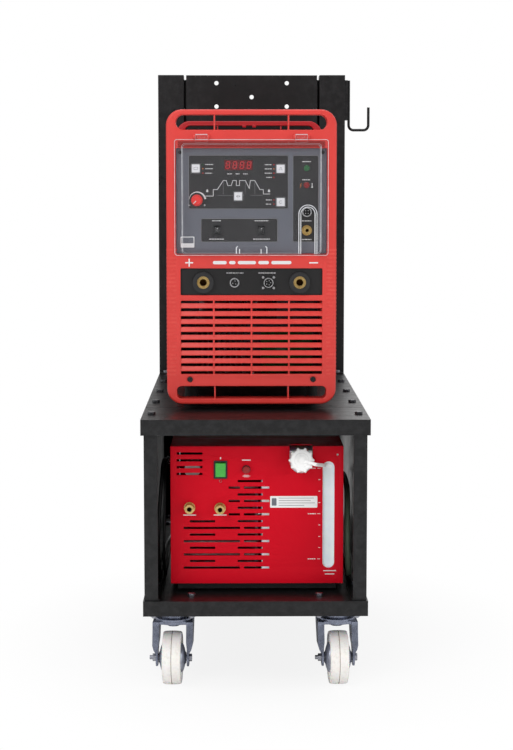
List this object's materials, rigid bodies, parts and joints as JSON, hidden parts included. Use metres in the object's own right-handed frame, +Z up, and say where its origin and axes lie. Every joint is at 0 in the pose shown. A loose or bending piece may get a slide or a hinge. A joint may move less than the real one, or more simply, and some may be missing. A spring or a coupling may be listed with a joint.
{
  "type": "tig welder",
  "caption": "TIG welding set: inverter power source with hinged clear lid on a wheeled trolley, with a water cooler in the lower bay and an upright behind.",
  "frame": {"origin": "on the floor, in the middle of the overall footprint (the cable hook on the right included)", "axes": "+Z up, +Y from the front to the back, +X to the right when facing the front"},
  "size_m": [0.477, 0.9, 1.179],
  "materials": {
    "black_powder_coat": "semi-gloss",
    "zinc_steel": "blue zinc plated, slightly dull",
    "bright_steel": "nickel or zinc plated",
    "nylon_wheel": "off-white nylon, slightly soiled",
    "red_powder_coat": "satin powder coat",
    "red_shell": "fine moulded texture",
    "red_sheet": "satin powder coat",
    "tank_plastic": "translucent natural polyethylene",
    "white_plastic": "moulded, satin",
    "green_switch": "translucent, lit",
    "black_plastic": "satin",
    "fuse_cap_brown": "satin",
    "brass": "turned, bright",
    "radiator_aluminium": "mill finish",
    "slate_plastic": "fine texture",
    "overlay_film": "printed polyester film, satin",
    "button_plastic": "light grey, satin",
    "knob_red": "moulded",
    "clear_lid": "clear polycarbonate",
    "lamp_lens": "translucent",
    "rubber_black": "matt",
    "circuit_board": "lacquered board"
  },
  "bodies": {
    "frame": {"deck_plates": "black_powder_coat", "lower_panels": "black_powder_coat", "base_tray": "black_powder_coat", "upright_frame": "black_powder_coat", "upright_panel": "black_powder_coat", "cable_hook": "black_powder_coat", "hex_bolts": "zinc_steel", "caster_plates": "zinc_steel", "rear_casters": "zinc_steel", "cooler_front_panel": "red_powder_coat", "cooler_cover": "red_powder_coat", "cooler_base": "black_powder_coat", "coolant_tank": "tank_plastic", "cap_strap": "white_plastic", "fuse_holder": "black_plastic", "water_couplings": "brass", "radiator": "radiator_aluminium", "coolant_pump": "bright_steel", "front_bezel": "red_shell", "rear_bezel": "red_shell", "welder_cover": "red_sheet", "welder_base": "black_powder_coat", "rubber_feet": "rubber_black", "control_panel": "slate_plastic", "panel_overlays": "overlay_film", "rocker_housings": "black_plastic", "connector_strip": "black_plastic", "socket_housings": "black_plastic", "socket_inserts": "brass", "control_connectors": "bright_steel", "gas_outlet": "brass", "indicator_lamps": "lamp_lens", "case_screws": "black_plastic", "rear_panel": "black_plastic", "rear_fittings": "black_plastic", "fan_frame": "black_plastic", "power_module": "radiator_aluminium", "panel_board": "circuit_board"},
    "left_fork": {"left_caster_fork": "zinc_steel", "left_caster_axle": "bright_steel"},
    "right_fork": {"right_caster_fork": "zinc_steel", "right_caster_axle": "bright_steel"},
    "left_front_wheel": {"left_front_wheel": "nylon_wheel"},
    "right_front_wheel": {"right_front_wheel": "nylon_wheel"},
    "left_rear_wheel": {"left_rear_wheel": "nylon_wheel"},
    "right_rear_wheel": {"right_rear_wheel": "nylon_wheel"},
    "filler_cap": {"filler_cap": "white_plastic"},
    "cooler_rocker": {"cooler_switch_rocker": "green_switch"},
    "fuse_cap": {"fuse_cap": "fuse_cap_brown"},
    "cooler_fan": {"cooler_fan": "black_plastic"},
    "button_upper_left": {"upper_left_button": "button_plastic"},
    "button_upper_right": {"upper_right_button": "button_plastic"},
    "button_centre": {"centre_button": "button_plastic"},
    "button_lower_right": {"lower_right_button": "button_plastic"},
    "current_knob": {"current_knob": "knob_red"},
    "left_rocker": {"left_function_rocker": "black_plastic"},
    "right_rocker": {"right_function_rocker": "black_plastic"},
    "lid": {"panel_lid": "clear_lid"},
    "mains_knob": {"mains_knob": "black_plastic"},
    "fan_rotor": {"fan_rotor": "black_plastic"}
  },
  "joints": [
    {"name": "left_caster_swivel", "type": "hinge", "parent": "frame", "child": "left_fork", "pos_m": [-0.1825, -0.36, 0.12], "axis": [0, 0, 1], "continuous": true},
    {"name": "right_caster_swivel", "type": "hinge", "parent": "frame", "child": "right_fork", "pos_m": [0.1255, -0.36, 0.12], "axis": [0, 0, 1], "continuous": true},
    {"name": "left_front_wheel_spin", "type": "hinge", "parent": "left_fork", "child": "left_front_wheel", "pos_m": [-0.18355, -0.38998, 0.05], "axis": [0.9994, -0.0349, 0], "continuous": true},
    {"name": "right_front_wheel_spin", "type": "hinge", "parent": "right_fork", "child": "right_front_wheel", "pos_m": [0.12655, -0.38998, 0.05], "axis": [0.9994, 0.0349, 0], "continuous": true},
    {"name": "left_rear_wheel_spin", "type": "hinge", "parent": "frame", "child": "left_rear_wheel", "pos_m": [-0.1825, 0.36, 0.05], "axis": [1, 0, 0], "continuous": true},
    {"name": "right_rear_wheel_spin", "type": "hinge", "parent": "frame", "child": "right_rear_wheel", "pos_m": [0.1255, 0.36, 0.05], "axis": [1, 0, 0], "continuous": true},
    {"name": "lid_hinge", "type": "hinge", "parent": "frame", "child": "lid", "pos_m": [-0.0347, -0.311, 1.021], "axis": [-1, 0, 0], "range_deg": [0, 120]},
    {"name": "current_knob_turn", "type": "hinge", "parent": "frame", "child": "current_knob", "pos_m": [-0.1374, -0.293, 0.9033], "axis": [0, 1, 0], "continuous": true},
    {"name": "left_rocker_tilt", "type": "hinge", "parent": "frame", "child": "left_rocker", "pos_m": [-0.0991, -0.2884, 0.8473], "axis": [1, 0, 0], "range_deg": [-14, 0]},
    {"name": "right_rocker_tilt", "type": "hinge", "parent": "frame", "child": "right_rocker", "pos_m": [-0.0158, -0.2884, 0.8473], "axis": [1, 0, 0], "range_deg": [-14, 0]},
    {"name": "cooler_rocker_tilt", "type": "hinge", "parent": "frame", "child": "cooler_rocker", "pos_m": [-0.0933, -0.362, 0.4022], "axis": [1, 0, 0], "range_deg": [-14, 0]},
    {"name": "filler_cap_turn", "type": "hinge", "parent": "frame", "child": "filler_cap", "pos_m": [0.0575, -0.38, 0.4207], "axis": [0, -0.9781, 0.2079], "continuous": true},
    {"name": "fuse_cap_turn", "type": "hinge", "parent": "frame", "child": "fuse_cap", "pos_m": [-0.0451, -0.367, 0.4029], "axis": [0, 1, 0], "range_deg": [-90, 0]},
    {"name": "mains_knob_turn", "type": "hinge", "parent": "frame", "child": "mains_knob", "pos_m": [0.0433, 0.312, 0.928], "axis": [0, 1, 0], "range_deg": [0, 90]},
    {"name": "fan_spin", "type": "hinge", "parent": "frame", "child": "fan_rotor", "pos_m": [-0.0347, 0.286, 0.698], "axis": [0, 1, 0], "continuous": true},
    {"name": "cooler_fan_spin", "type": "hinge", "parent": "frame", "child": "cooler_fan", "pos_m": [-0.0965, -0.271, 0.282], "axis": [0, 1, 0], "continuous": true},
    {"name": "upper_left_button_press", "type": "slide", "parent": "frame", "child": "button_upper_left", "axis": [0, 1, 0], "range_m": [0, 0.0008], "stiffness_N_per_m": 400},
    {"name": "upper_right_button_press", "type": "slide", "parent": "frame", "child": "button_upper_right", "axis": [0, 1, 0], "range_m": [0, 0.0008], "stiffness_N_per_m": 400},
    {"name": "centre_button_press", "type": "slide", "parent": "frame", "child": "button_centre", "axis": [0, 1, 0], "range_m": [0, 0.0008], "stiffness_N_per_m": 400},
    {"name": "lower_right_button_press", "type": "slide", "parent": "frame", "child": "button_lower_right", "axis": [0, 1, 0], "range_m": [0, 0.0008], "stiffness_N_per_m": 400}
  ]
}
